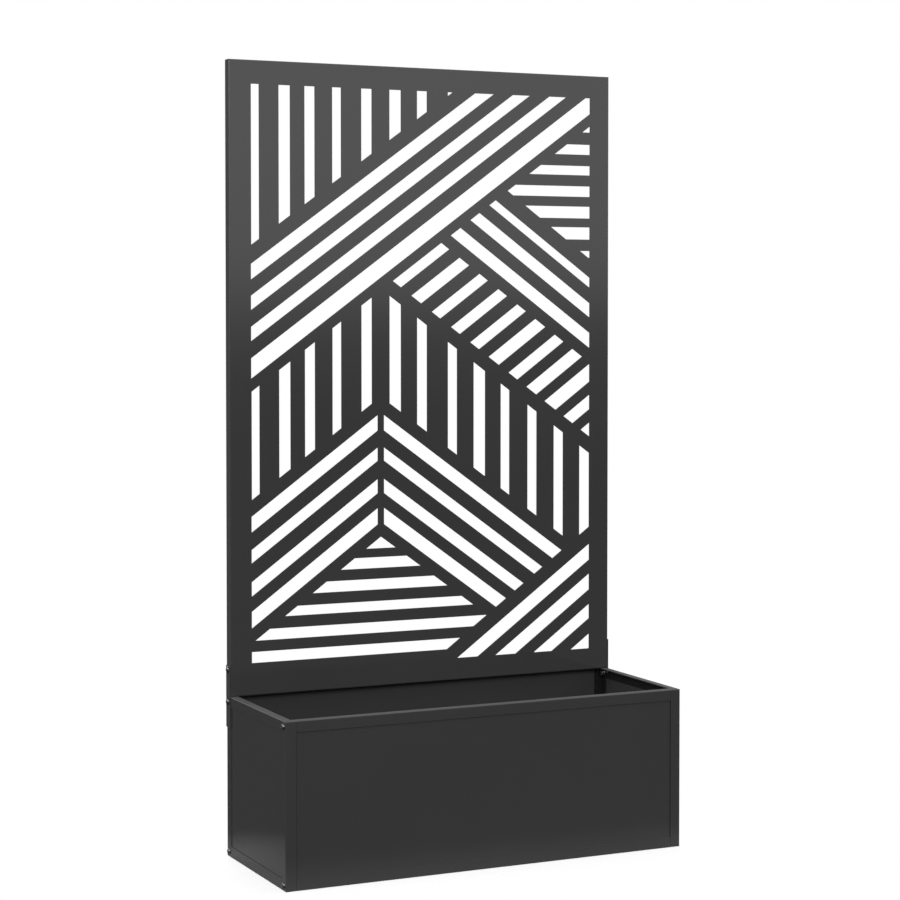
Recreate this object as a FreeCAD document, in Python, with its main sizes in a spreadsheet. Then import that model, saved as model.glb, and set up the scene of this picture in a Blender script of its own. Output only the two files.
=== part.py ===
import FreeCAD, Part
import math
import os
import Sketcher
from FreeCAD import Placement, Rotation, Vector

# Floor planter with a trellis screen, in folded and powder-coated sheet steel.
#
# Frame: X runs along the front, Y from the front to the back, Z up. The origin lies on the
# floor under the middle of the box, and the screen stands along the back edge.
#
# The box is a cage of four corner posts and eight mitred edge rails. Inside the cage stand
# four wall panels, one sheet thickness back, so the rails and posts frame the walls as raised
# bands. Button-head bolts near the top and the foot of each corner clamp the post, the side
# panel and the folded-back end of the front or back panel. The screen is one tray of sheet
# with four folded flanges. It stands on the back rim and is held by an upright strap on each
# side, bolted to the post below the joint and to the folded edge of the screen above it.

SIZES = (
    # box
    ("box_width", 800),
    ("box_depth", 300),
    ("box_height", 300),
    ("overall_height", 1480),
    # sheet thicknesses
    ("frame_sheet", 1.5),
    ("panel_sheet", 1.2),
    ("floor_sheet", 1.2),
    ("screen_sheet", 2),
    ("strap_sheet", 1.5),
    # folds, and the gaps left between folded edges
    ("post_leg", 20),
    ("rail_face", 20),
    ("rim_flange", 15),
    ("panel_return", 18),
    ("screen_flange", 20),
    ("seam_gap", 0.4),
    ("corner_slit", 0.6),
    # floor tray
    ("floor_gap", 1),
    ("floor_lip", 15),
    ("lip_setback", 26),
    ("drain_diameter", 12),
    ("drain_count", 4),
    # straps over the joint between box and screen
    ("strap_width", 20),
    ("strap_length", 115),
    ("strap_bolt_rise", 50),
    # bolts and nuts
    ("bolt_inset", 10),
    ("thread_diameter", 6),
    ("hole_gap", 0.6),
    ("bore_gap", 0.2),
    ("bolt_length", 10),
    ("long_bolt_length", 12),
    ("head_diameter", 13),
    ("head_crown", 7),
    ("head_height", 3.6),
    ("socket_width", 4),
    ("socket_depth", 2.2),
    ("nut_width", 10),
    ("nut_height", 5),
    # screen pattern: borders, slope and spacings of the slots
    ("border_side", 42.5),
    ("border_top", 44),
    ("border_foot", 42),
    ("pattern_slope", 35.75),
    ("bar_pitch", 48.3),
    ("column_pitch", 58.8),
    ("row_pitch", 41.35),
    # screen pattern: the upright axis of the chevrons, and the heights over the foot of the
    # screen at which the edges of the slot fields cross that axis
    ("chevron_axis", 304.9),
    ("spine_width", 12.5),
    ("fan_foot", 1027),
    ("sweep_head", 993),
    ("sweep_foot", 754.8),
    ("top_row", 1075.4),
    ("row_foot", 1144),
    ("brace_head", 1107),
    ("ladder_head", 938.5),
    ("ladder_foot", 791.1),
    ("column_head", 758.2),
    ("column_foot", 552.8),
    ("chevron_foot", 313.4),
    ("tent_peak", 285.5),
    ("tent_row", 277.4),
    ("corner_head", -40.1),
)

# Slots of each field in turn, as the place of their two edges in shares of the field's pitch.
# The bars vary a little from one to the next, and a field that needs more slots than its
# list names starts the list again.
LEFT_COLUMNS = ((0.31, 0.68), (0.38, 0.69), (0.29, 0.64), (0.13, 0.52), (0.18, 0.45))
RIGHT_COLUMNS = ((0.31, 0.72), (0.29, 0.65), (0.40, 0.74), (0.34, 0.77),
                 (0.34, 0.67), (0.34, 0.69), (0.33, 0.69), (0.31, 0.69))
SWEEP = ((0.41, 1.05), (0.58, 1.03), (0.55, 1.00), (0.50, 0.99))
ROWS = ((-0.17, 0.17), (-0.24, 0.24), (-0.22, 0.22), (-0.25, 0.25),
        (-0.28, 0.28), (-0.29, 0.29), (-0.16, 0.16))
BRACES = ((0.48, 0.99), (0.50, 0.98), (0.49, 0.83))
LADDER = ((-0.01, 0.41), (-0.06, 0.44), (-0.02, 0.42), (-0.03, 0.43), (-0.03, 0.43),
          (-0.07, 0.47), (-0.02, 0.45), (-0.07, 0.46), (-0.10, 0.50), (-0.07, 0.42),
          (-0.14, 0.54))
CHEVRONS = ((0.51, 1.01), (0.55, 0.98), (0.56, 1.02), (0.49, 1.02))
TENT = ((-0.34, 0.34), (-0.25, 0.25), (-0.25, 0.25), (-0.22, 0.22), (-0.25, 0.25),
        (-0.25, 0.25))
CORNER = ((0.57, 1.11), (0.57, 1.11), (0.59, 1.08), (0.59, 1.08))

# Places that several pieces share, as expressions on the sheet.
RIGHT = "(Sizes.box_width / 2)"
LEFT = "(-Sizes.box_width / 2)"
FRONT = "(-Sizes.box_depth / 2)"
BACK = "(Sizes.box_depth / 2)"
RIM = "Sizes.box_height"
TOP = "Sizes.overall_height"
WALL_FOOT = "Sizes.frame_sheet"
WALL_HEIGHT = "(Sizes.box_height - 2 * Sizes.frame_sheet)"
SCREEN_FACE = "(Sizes.box_depth / 2 - Sizes.screen_flange)"
FRONT_BOLTS = "(Sizes.bolt_inset - Sizes.box_depth / 2)"
BACK_BOLTS = "(Sizes.box_depth / 2 - Sizes.bolt_inset)"
LOW_BOLTS = "Sizes.bolt_inset"
HIGH_BOLTS = "(Sizes.box_height - Sizes.bolt_inset)"
STRAP_BOLTS = "(Sizes.box_height + Sizes.strap_bolt_rise)"
BOLT_HOLE = "(Sizes.thread_diameter + Sizes.hole_gap)"

doc = FreeCAD.newDocument("planter_with_trellis")
sheet = doc.addObject("Spreadsheet::Sheet", "Sizes")
for number, (alias, value) in enumerate(SIZES, start=1):
    sheet.set("A%d" % number, alias)
    sheet.set("B%d" % number, str(value))
    sheet.setAlias("B%d" % number, alias)
doc.recompute()
pieces = []


def size(expression):
    """Value of an expression on the sheet, in millimetres."""
    return float(sheet.evalExpression(expression))


def new_body(label):
    """Empty body named after its piece."""
    body = doc.addObject("PartDesign::Body", label)
    body.Label = label
    return body


def place(body, spin=0, upside_down=False):
    """Turn a finished piece about the box's upright axis, after turning it over if asked."""
    rotation = Rotation(Vector(0, 0, 1), spin)
    if upside_down:
        rotation = rotation * Rotation(Vector(0, 1, 0), 180)
    body.Placement = Placement(Vector(), rotation)
    if upside_down:
        body.setExpression("Placement.Base.z", RIM)
    pieces.append(body)


def new_sketch(body, name, plane_name, offset="0"):
    """Sketch on an origin plane of the body, moved along the plane's normal by offset."""
    sketch = body.newObject("Sketcher::SketchObject", name)
    plane = next(item for item in body.Origin.OriginFeatures if item.Role == plane_name)
    sketch.AttachmentSupport = (plane, [""])
    sketch.MapMode = "FlatFace"
    sketch.setExpression("AttachmentOffset.Base.z", offset)
    return sketch


def bind(sketch, kind, geometry, vertex, expression):
    """Hold one coordinate of a sketch point at an expression."""
    constraint = Sketcher.Constraint(kind, -1, 1, geometry, vertex, size(expression))
    number = sketch.addConstraint(constraint)
    sketch.setExpression("Constraints[%d]" % number, expression)


def add_outline(sketch, corners):
    """Closed outline through corners given as pairs of expressions."""
    first = sketch.GeometryCount
    points = [Vector(size(x), size(y), 0) for x, y in corners]
    for start, end in zip(points, points[1:] + points[:1]):
        sketch.addGeometry(Part.LineSegment(start, end))
    for number, (x, y) in enumerate(corners):
        following = first + (number + 1) % len(corners)
        link = Sketcher.Constraint("Coincident", first + number, 2, following, 1)
        sketch.addConstraint(link)
        bind(sketch, "DistanceX", first + number, 1, x)
        bind(sketch, "DistanceY", first + number, 1, y)


def add_rectangle(sketch, left, right, low, high):
    """Rectangle between four expressions."""
    add_outline(sketch, ((left, low), (right, low), (right, high), (left, high)))


def add_hexagon(sketch, width):
    """Hexagon about the origin, width across its flats."""
    corners = []
    for angle in range(0, 360, 60):
        corners.append(tuple("%s / sqrt(3) * %s(%d)" % (width, function, angle)
                             for function in ("cos", "sin")))
    add_outline(sketch, corners)


def add_circle(sketch, x, y, diameter):
    """Circle about a pair of expressions."""
    centre = Vector(size(x), size(y), 0)
    circle = sketch.addGeometry(Part.Circle(centre, Vector(0, 0, 1), size(diameter) / 2))
    bind(sketch, "DistanceX", circle, 3, x)
    bind(sketch, "DistanceY", circle, 3, y)
    number = sketch.addConstraint(Sketcher.Constraint("Diameter", circle, size(diameter)))
    sketch.setExpression("Constraints[%d]" % number, diameter)


def extrude(sketch, length, against_normal=False, both_ways=False):
    """Add to the sketch's body by extruding the sketch."""
    pad = sketch.getParentGeoFeatureGroup().newObject("PartDesign::Pad", sketch.Name + "_pad")
    pad.Profile = sketch
    pad.setExpression("Length", length)
    pad.Reversed = against_normal
    if both_ways:
        pad.SideType = "Symmetric"
    return pad


def cut(sketch, depth=None, along_normal=True):
    """Cut the sketch to a depth on one side of its plane, or right through both ways."""
    body = sketch.getParentGeoFeatureGroup()
    pocket = body.newObject("PartDesign::Pocket", sketch.Name + "_cut")
    pocket.Profile = sketch
    if depth is None:
        pocket.Type = "ThroughAll"
        pocket.SideType = "Symmetric"
    else:
        pocket.setExpression("Length", depth)
        pocket.Reversed = along_normal
    return pocket


def round_folds(body, radius, lines):
    """Round the edges whose ends lie on the lines.

    A line is a dictionary of held coordinates, such as {"x": LEFT, "y": FRONT}.
    """
    doc.recompute()
    base = body.Tip
    held = [[(axis, size(place)) for axis, place in line.items()] for line in lines]
    names = []
    for number, edge in enumerate(base.Shape.Edges, start=1):
        for line in held:
            misses = [abs(getattr(vertex.Point, axis) - value)
                      for vertex in edge.Vertexes for axis, value in line]
            if max(misses) < 0.01:
                names.append("Edge%d" % number)
    fillet = body.newObject("PartDesign::Fillet", body.Name + "_folds")
    fillet.Base = (base, names)
    fillet.setExpression("Radius", radius)


def add_post(label, spin=0, upside_down=False):
    """Corner post: an angle between the two rims, drawn at the front left corner."""
    body = new_body(label)
    angle = new_sketch(body, label + "_angle", "XY_Plane", WALL_FOOT)
    inner_x = LEFT + " + Sizes.frame_sheet"
    inner_y = FRONT + " + Sizes.frame_sheet"
    add_outline(angle, (
        (LEFT, FRONT),
        (LEFT + " + Sizes.post_leg", FRONT),
        (LEFT + " + Sizes.post_leg", inner_y),
        (inner_x, inner_y),
        (inner_x, FRONT + " + Sizes.post_leg"),
        (LEFT, FRONT + " + Sizes.post_leg"),
    ))
    extrude(angle, WALL_HEIGHT)
    round_folds(body, "Sizes.frame_sheet", [{"x": LEFT, "y": FRONT}])
    holes = new_sketch(body, label + "_holes", "YZ_Plane")
    for height in (LOW_BOLTS, HIGH_BOLTS):
        add_circle(holes, FRONT_BOLTS, height, BOLT_HOLE)
    cut(holes)
    place(body, spin, upside_down)


def add_rail(label, length, span, spin=0, upside_down=False):
    """Edge rail: an angle round the rim of one wall, drawn along the top of the front.

    Its face stops at the posts, and its flange runs on over them to a mitre in each corner.
    length is the length of the wall, and span the width of the box across it.
    """
    body = new_body(label)
    face = "(-%s / 2)" % span
    lip = face + " + Sizes.rim_flange"
    underside = RIM + " - Sizes.frame_sheet"
    low = RIM + " - Sizes.rail_face"
    angle = new_sketch(body, label + "_angle", "YZ_Plane")
    add_outline(angle, (
        (face, low),
        (face + " + Sizes.frame_sheet", low),
        (face + " + Sizes.frame_sheet", underside),
        (lip, underside),
        (lip, RIM),
        (face, RIM),
    ))
    extrude(angle, length, both_ways=True)
    round_folds(body, "Sizes.frame_sheet", [{"y": face, "z": RIM}])
    ends = new_sketch(body, label + "_ends", "XZ_Plane")
    mitres = new_sketch(body, label + "_mitres", "XY_Plane")
    for side in ("", "-"):
        end = "%s(%s / 2)" % (side, length)
        seam = "%s(%s / 2 - Sizes.post_leg - Sizes.seam_gap)" % (side, length)
        add_rectangle(ends, seam, end, low, underside)
        add_outline(mitres, (
            ("%s(%s / 2 - Sizes.seam_gap / 2)" % (side, length), face),
            ("%s(%s / 2 - Sizes.seam_gap / 2 - Sizes.rim_flange)" % (side, length), lip),
            (end, lip),
            (end, face),
        ))
    cut(ends)
    cut(mitres)
    place(body, spin, upside_down)


def add_long_panel(label, spin=0):
    """Front or back wall, drawn at the front, with both ends folded inwards."""
    body = new_body(label)
    face = FRONT + " + Sizes.frame_sheet"
    deep = face + " + Sizes.panel_return"
    half = "(Sizes.box_width / 2 - Sizes.frame_sheet - Sizes.panel_sheet)"
    inner_half = "(%s - Sizes.panel_sheet)" % half
    wall = new_sketch(body, label + "_wall", "XY_Plane", WALL_FOOT)
    add_outline(wall, (
        ("-" + half, face),
        (half, face),
        (half, deep),
        (inner_half, deep),
        (inner_half, face + " + Sizes.panel_sheet"),
        ("-" + inner_half, face + " + Sizes.panel_sheet"),
        ("-" + inner_half, deep),
        ("-" + half, deep),
    ))
    extrude(wall, WALL_HEIGHT)
    round_folds(body, "Sizes.panel_sheet",
                [{"x": half, "y": face}, {"x": "-" + half, "y": face}])
    holes = new_sketch(body, label + "_holes", "YZ_Plane")
    for height in (LOW_BOLTS, HIGH_BOLTS):
        add_circle(holes, FRONT_BOLTS, height, BOLT_HOLE)
    cut(holes)
    place(body, spin)


def add_side_panel(label, spin=0):
    """Left or right wall: a flat sheet, drawn at the left."""
    body = new_body(label)
    face = LEFT + " + Sizes.frame_sheet"
    wall = new_sketch(body, label + "_wall", "XY_Plane", WALL_FOOT)
    add_rectangle(wall, face, face + " + Sizes.panel_sheet",
                  FRONT + " + Sizes.frame_sheet", BACK + " - Sizes.frame_sheet")
    extrude(wall, WALL_HEIGHT)
    holes = new_sketch(body, label + "_holes", "YZ_Plane")
    for y in (FRONT_BOLTS, BACK_BOLTS):
        for height in (LOW_BOLTS, HIGH_BOLTS):
            add_circle(holes, y, height, BOLT_HOLE)
    cut(holes)
    place(body, spin)


def add_floor_tray(label):
    """Floor that lies on the flanges of the bottom rails.

    Its lips stop short of the corners, where the bolts come through, and two rows of holes
    drain it.
    """
    body = new_body(label)
    half_x = ("(Sizes.box_width / 2 - Sizes.frame_sheet - 2 * Sizes.panel_sheet"
              " - Sizes.floor_gap)")
    half_y = "(Sizes.box_depth / 2 - Sizes.frame_sheet - Sizes.panel_sheet - Sizes.floor_gap)"
    lip_x = "(%s - Sizes.lip_setback)" % half_x
    lip_y = "(%s - Sizes.lip_setback)" % half_y
    plate = new_sketch(body, label + "_plate", "XY_Plane", WALL_FOOT)
    add_rectangle(plate, "-" + half_x, half_x, "-" + half_y, half_y)
    extrude(plate, "Sizes.floor_sheet")
    lips = new_sketch(body, label + "_lips", "XY_Plane", WALL_FOOT)
    for side in ("", "-"):
        add_rectangle(lips, "-" + lip_x, lip_x,
                      side + half_y, "%s(%s - Sizes.floor_sheet)" % (side, half_y))
        add_rectangle(lips, side + half_x, "%s(%s - Sizes.floor_sheet)" % (side, half_x),
                      "-" + lip_y, lip_y)
    extrude(lips, "Sizes.floor_lip")
    drain = new_sketch(body, label + "_drain", "XY_Plane")
    drain_pitch = "(2 * %s / Sizes.drain_count)" % half_x
    for side in ("", "-"):
        add_circle(drain, "%s / 2 - %s" % (drain_pitch, half_x), "%s%s / 2" % (side, half_y),
                   "Sizes.drain_diameter")
    hole = cut(drain)
    doc.recompute()
    row = body.newObject("PartDesign::LinearPattern", label + "_drain_row")
    row.Originals = [hole]
    row.Direction = (drain, ["H_Axis"])
    row.Mode = "Spacing"
    row.setExpression("Offset", drain_pitch)
    row.setExpression("Occurrences", "Sizes.drain_count")
    body.Tip = row
    place(body)


# The slot pattern of the screen is worked out on the face of the sheet, in millimetres from
# its left edge and from its foot. A line is (across, up, distance): the points whose product
# with the unit normal (across, up) is the distance.

def steep_line(rise, height):
    """Line at the pattern's slope, climbing to the right (1) or falling (-1).

    height is where it crosses the axis of the chevrons.
    """
    slope = math.radians(size("Sizes.pattern_slope"))
    across = -rise * math.sin(slope)
    up = math.cos(slope)
    return (across, up, across * size("Sizes.chevron_axis") + up * height)


def shifted(line, distance):
    """Parallel line further along the normal."""
    return (line[0], line[1], line[2] + distance)


def below(corners, line):
    """Part of a convex outline on the near side of a line."""
    across, up, distance = line
    kept = []
    for start, end in zip(corners, corners[1:] + corners[:1]):
        depth = distance - across * start[0] - up * start[1]
        end_depth = distance - across * end[0] - up * end[1]
        if depth >= 0:
            kept.append(start)
        if depth * end_depth < 0:
            share = depth / (depth - end_depth)
            kept.append(tuple(a + share * (b - a) for a, b in zip(start, end)))
    return kept


def above(corners, line):
    """Part of a convex outline on the far side of a line."""
    return below(corners, tuple(-number for number in line))


def is_scrap(corners, line):
    """Whether an outline is narrower than a bolt hole, along the line or across it."""
    across, up, _ = line
    spreads = []
    for direction in ((across, up), (up, -across)):
        places = [direction[0] * x + direction[1] * z for x, z in corners]
        spreads.append(max(places, default=0) - min(places, default=0))
    return min(spreads) < size(BOLT_HOLE)


def stripes(field, line, pitch, rhythm):
    """Slots of a field, one pitch apart from the line on, without the scraps at its edges."""
    slots = []
    for number in range(int(size(TOP) / abs(pitch)) + 1):
        edges = sorted((number + share) * pitch for share in rhythm[number % len(rhythm)])
        slot = above(below(field, shifted(line, edges[1])), shifted(line, edges[0]))
        if not is_scrap(slot, line):
            slots.append(slot)
    return slots


def upper_slots(whole, left, right):
    """Fan, sweep, rows, braces and ladder: the fields that run from edge to edge."""
    pitch = size("Sizes.bar_pitch")
    column = size("Sizes.column_pitch")
    axis = (1.0, 0.0, size("Sizes.chevron_axis"))
    sweep_foot = steep_line(1, size("Sizes.sweep_foot"))
    ladder_head = steep_line(-1, size("Sizes.ladder_head"))

    fan_foot = steep_line(1, size("Sizes.fan_foot"))
    slots = stripes(above(left, fan_foot), axis, -column, LEFT_COLUMNS)
    slots += stripes(above(right, fan_foot), axis, column, RIGHT_COLUMNS)

    sweep = above(below(whole, steep_line(1, size("Sizes.sweep_head"))), sweep_foot)
    slots += stripes(sweep, sweep_foot, pitch, SWEEP)

    rest = below(whole, sweep_foot)
    rows = above(rest, steep_line(-1, size("Sizes.row_foot")))
    slots += stripes(rows, (0.0, 1.0, size("Sizes.top_row")), -size("Sizes.row_pitch"), ROWS)

    braces = above(below(rest, steep_line(-1, size("Sizes.brace_head"))), ladder_head)
    slots += stripes(braces, ladder_head, pitch, BRACES)

    ladder = above(below(rest, ladder_head), steep_line(-1, size("Sizes.ladder_foot")))
    slots += stripes(ladder, sweep_foot, -pitch, LADDER)
    return slots


def lower_slots(whole, left, right):
    """Columns, chevrons, tent and corner: the fields about the axis of the chevrons."""
    pitch = size("Sizes.bar_pitch")
    column = size("Sizes.column_pitch")
    spine = size("Sizes.spine_width") / 2
    axis = (1.0, 0.0, size("Sizes.chevron_axis"))
    corner_head = steep_line(1, size("Sizes.corner_head"))
    left_roof = steep_line(1, size("Sizes.column_foot"))
    right_roof = steep_line(-1, size("Sizes.column_foot"))

    columns = above(below(left, steep_line(1, size("Sizes.sweep_foot"))), left_roof)
    slots = stripes(columns, axis, -column, LEFT_COLUMNS)
    columns = below(above(right, right_roof), steep_line(-1, size("Sizes.column_head")))
    columns = above(columns, corner_head)
    slots += stripes(columns, axis, column, RIGHT_COLUMNS)

    arms = above(below(left, shifted(axis, -spine)), steep_line(1, size("Sizes.chevron_foot")))
    slots += stripes(arms, left_roof, -pitch, CHEVRONS)
    arms = above(above(right, shifted(axis, spine)), corner_head)
    arms = above(arms, steep_line(-1, size("Sizes.chevron_foot")))
    slots += stripes(arms, right_roof, -pitch, CHEVRONS)

    tent = below(whole, steep_line(1, size("Sizes.tent_peak")))
    tent = above(below(tent, steep_line(-1, size("Sizes.tent_peak"))), corner_head)
    slots += stripes(tent, (0.0, 1.0, size("Sizes.tent_row")), -size("Sizes.row_pitch"), TENT)

    slots += stripes(below(whole, corner_head), corner_head, -pitch, CORNER)
    return slots


def add_slots(sketch):
    """Draw all slots of the screen."""
    side = size("Sizes.border_side")
    far_side = size("Sizes.box_width") - side
    foot = size("Sizes.border_foot")
    head = size(TOP) - size(RIM) - size("Sizes.border_top")
    whole = [(side, foot), (far_side, foot), (far_side, head), (side, head)]
    axis = (1.0, 0.0, size("Sizes.chevron_axis"))
    halves = (below(whole, axis), above(whole, axis))
    corner = Vector(size(LEFT), size(RIM), 0)
    for slot in upper_slots(whole, *halves) + lower_slots(whole, *halves):
        points = [corner + Vector(x, z, 0) for x, z in slot]
        for start, end in zip(points, points[1:] + points[:1]):
            sketch.addGeometry(Part.LineSegment(start, end))


def add_screen(label):
    """Trellis screen: a slotted face and four flanges folded back from it."""
    body = new_body(label)
    inner_half = "(Sizes.box_width / 2 - Sizes.screen_sheet)"
    inner_foot = RIM + " + Sizes.screen_sheet"
    inner_top = TOP + " - Sizes.screen_sheet"
    # the normal of the XZ plane points to the front
    face = new_sketch(body, label + "_face", "XZ_Plane", "-" + SCREEN_FACE)
    add_rectangle(face, LEFT, RIGHT, RIM, TOP)
    extrude(face, "Sizes.screen_sheet", against_normal=True)
    ring = new_sketch(body, label + "_ring", "XZ_Plane", "-" + SCREEN_FACE)
    add_rectangle(ring, LEFT, RIGHT, RIM, TOP)
    add_rectangle(ring, "-" + inner_half, inner_half, inner_foot, inner_top)
    extrude(ring, "Sizes.screen_flange", against_normal=True)
    round_folds(body, "Sizes.screen_sheet",
                [{"y": SCREEN_FACE, "x": LEFT}, {"y": SCREEN_FACE, "x": RIGHT},
                 {"y": SCREEN_FACE, "z": RIM}, {"y": SCREEN_FACE, "z": TOP}])

    # the flanges part at each corner, behind the folds
    slits = new_sketch(body, label + "_slits", "XZ_Plane", "-" + BACK)
    for side in ("", "-"):
        for low, high in ((RIM, inner_foot), (inner_top, TOP)):
            add_rectangle(slits, side + inner_half,
                          "%s(%s - Sizes.corner_slit)" % (side, inner_half), low, high)
    cut(slits, "Sizes.screen_flange - 2 * Sizes.screen_sheet")

    side_holes = new_sketch(body, label + "_side_holes", "YZ_Plane")
    add_circle(side_holes, BACK_BOLTS, STRAP_BOLTS, BOLT_HOLE)
    cut(side_holes)

    pattern = new_sketch(body, label + "_pattern", "XZ_Plane", "-" + SCREEN_FACE)
    add_slots(pattern)
    cut(pattern, "Sizes.screen_sheet", along_normal=False)
    place(body)


def add_strap(label, outer_face):
    """Flat bar over the joint of box and screen, with a bolt into each."""
    body = new_body(label)
    low = RIM + " - Sizes.strap_length / 2"
    high = RIM + " + Sizes.strap_length / 2"
    bar = new_sketch(body, label + "_bar", "YZ_Plane", outer_face)
    add_rectangle(bar, BACK + " - Sizes.strap_width", BACK, low, high)
    extrude(bar, "Sizes.strap_sheet", against_normal=(outer_face == LEFT))
    holes = new_sketch(body, label + "_holes", "YZ_Plane")
    for height in (HIGH_BOLTS, STRAP_BOLTS):
        add_circle(holes, BACK_BOLTS, height, BOLT_HOLE)
    cut(holes)
    place(body)


# Fasteners are drawn once, standing upright with the bearing face at the height zero, and
# linked into every place they are used.

def draw_bolt(label, length):
    """Button-head bolt with a hexagon socket."""
    body = new_body(label)
    head = body.newObject("PartDesign::AdditiveCone", label + "_head")
    head.setExpression("Radius1", "Sizes.head_diameter / 2")
    head.setExpression("Radius2", "Sizes.head_crown / 2")
    head.setExpression("Height", "Sizes.head_height")
    shank = new_sketch(body, label + "_shank", "XY_Plane")
    add_circle(shank, "0", "0", "Sizes.thread_diameter")
    extrude(shank, length, against_normal=True)
    socket = new_sketch(body, label + "_socket", "XY_Plane",
                        "Sizes.head_height - Sizes.socket_depth")
    add_hexagon(socket, "Sizes.socket_width")
    cut(socket, "Sizes.socket_depth")
    return body


def draw_nut(label):
    """Hexagon nut."""
    body = new_body(label)
    ring = new_sketch(body, label + "_ring", "XY_Plane")
    add_hexagon(ring, "Sizes.nut_width")
    add_circle(ring, "0", "0", "Sizes.thread_diameter + Sizes.bore_gap")
    extrude(ring, "Sizes.nut_height", against_normal=True)
    return body


def add_group(label, fastener, places):
    """One node of copies of a fastener, each turned about Y and moved to its place."""
    links = []
    for number, (angle, x, y, z) in enumerate(places, start=1):
        link = doc.addObject("App::Link", "%s_%d" % (label, number))
        link.LinkedObject = fastener
        link.Placement = Placement(Vector(), Rotation(Vector(0, 1, 0), angle))
        for axis, expression in zip("xyz", (x, y, z)):
            link.setExpression("Placement.Base." + axis, expression)
        links.append(link)
    group = doc.addObject("Part::Compound", label)
    group.Label = label
    group.Links = links
    pieces.append(group)


def on_both_sides(distance, points):
    """Places with their heads outwards at a distance from the middle of the box."""
    sides = ((-90, "-"), (90, ""))
    return [(angle, side + distance, y, z) for angle, side in sides for y, z in points]


def add_fasteners():
    """All bolts and nuts."""
    corners = [(FRONT_BOLTS, LOW_BOLTS), (FRONT_BOLTS, HIGH_BOLTS), (BACK_BOLTS, LOW_BOLTS)]
    below_joint = [(BACK_BOLTS, HIGH_BOLTS)]
    above_joint = [(BACK_BOLTS, STRAP_BOLTS)]
    wall = "(Sizes.box_width / 2 - Sizes.frame_sheet - 2 * Sizes.panel_sheet)"
    flange = "(Sizes.box_width / 2 - Sizes.screen_sheet)"
    strap = "(Sizes.box_width / 2 + Sizes.strap_sheet)"
    add_group("corner_bolts", draw_bolt("bolt", "Sizes.bolt_length"),
              on_both_sides(RIGHT, corners))
    add_group("strap_bolts", draw_bolt("long_bolt", "Sizes.long_bolt_length"),
              on_both_sides(strap, below_joint + above_joint))
    add_group("hex_nuts", draw_nut("nut"),
              on_both_sides(wall, corners + below_joint) + on_both_sides(flange, above_joint))


def check_and_export():
    """Stop on any fault, then write every piece to a file named after it."""
    doc.recompute()
    for item in doc.Objects:
        if "Invalid" in item.State or "Error" in item.State:
            raise RuntimeError("%s: %s" % (item.Name, item.State))
    os.makedirs("parts", exist_ok=True)
    for piece in pieces:
        if piece.Shape.isNull() or not piece.Shape.isValid():
            raise RuntimeError("%s has no valid shape" % piece.Label)
        piece.Shape.exportStep("parts/%s.step" % piece.Label)


add_post("front_left_post")
add_post("front_right_post", upside_down=True)
add_post("rear_left_post", 180, upside_down=True)
add_post("rear_right_post", 180)

LONG_RAIL = ("Sizes.box_width", "Sizes.box_depth")
SHORT_RAIL = ("Sizes.box_depth", "Sizes.box_width")
add_rail("front_top_rail", *LONG_RAIL)
add_rail("rear_top_rail", *LONG_RAIL, 180)
add_rail("left_top_rail", *SHORT_RAIL, -90)
add_rail("right_top_rail", *SHORT_RAIL, 90)
add_rail("front_bottom_rail", *LONG_RAIL, upside_down=True)
add_rail("rear_bottom_rail", *LONG_RAIL, 180, upside_down=True)
add_rail("left_bottom_rail", *SHORT_RAIL, -90, upside_down=True)
add_rail("right_bottom_rail", *SHORT_RAIL, 90, upside_down=True)

add_long_panel("front_panel")
add_long_panel("rear_panel", 180)
add_side_panel("left_panel")
add_side_panel("right_panel", 180)
add_floor_tray("floor_tray")
add_screen("trellis_screen")
add_strap("left_strap", LEFT)
add_strap("right_strap", RIGHT)
add_fasteners()
check_and_export()
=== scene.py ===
"""Looks of a folded steel planter with a cut trellis screen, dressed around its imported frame.

The flat and folded sheets are the frame's own solids with a powder-coat finish. The bolts and
the nuts are modelled here in detail, on the places that the frame gives them.
"""

import logging
import math
from dataclasses import dataclass
from enum import Enum
from typing import Callable, Iterable, Optional

import bmesh
import bpy
from mathutils import Matrix, Vector


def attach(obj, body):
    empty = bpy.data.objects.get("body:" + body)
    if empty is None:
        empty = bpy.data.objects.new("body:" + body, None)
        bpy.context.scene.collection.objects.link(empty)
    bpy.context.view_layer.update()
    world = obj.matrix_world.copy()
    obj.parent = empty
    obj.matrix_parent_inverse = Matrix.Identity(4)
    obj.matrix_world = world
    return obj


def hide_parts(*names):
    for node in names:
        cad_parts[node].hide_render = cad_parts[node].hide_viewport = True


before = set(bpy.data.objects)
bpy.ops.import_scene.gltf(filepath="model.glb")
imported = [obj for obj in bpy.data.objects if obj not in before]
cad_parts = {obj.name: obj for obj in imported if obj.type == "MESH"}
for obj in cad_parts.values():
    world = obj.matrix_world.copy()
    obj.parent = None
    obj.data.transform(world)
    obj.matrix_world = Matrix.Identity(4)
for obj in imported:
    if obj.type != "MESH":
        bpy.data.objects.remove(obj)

LOG = logging.getLogger("planter")
ROOT = "root"
MM = 0.001
TURNED_SIDES = 48
HEXAGON_SIDES = 6
LEVEL_NORMAL = 0.9
EDGE_WIDTH = 0.12 * MM

# Sockets of the Mix node, whose names repeat for each kind of data.
FLOAT_FACTOR, FLOAT_FIRST, FLOAT_SECOND, FLOAT_RESULT = 0, 2, 3, 0
COLOUR_FIRST, COLOUR_SECOND, COLOUR_RESULT = 6, 7, 2

Colour = tuple[float, float, float]
Socket = bpy.types.NodeSocket


class Slot(Enum):
    """Names of two material slots of the record; nothing in the script reads them."""

    BOLT = "bolt_black"
    NUT = "zinc"


class Side(Enum):
    """The end of the planter that a bolt or a nut belongs to, as the sign of its X."""

    LEFT = -1
    RIGHT = 1


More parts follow.
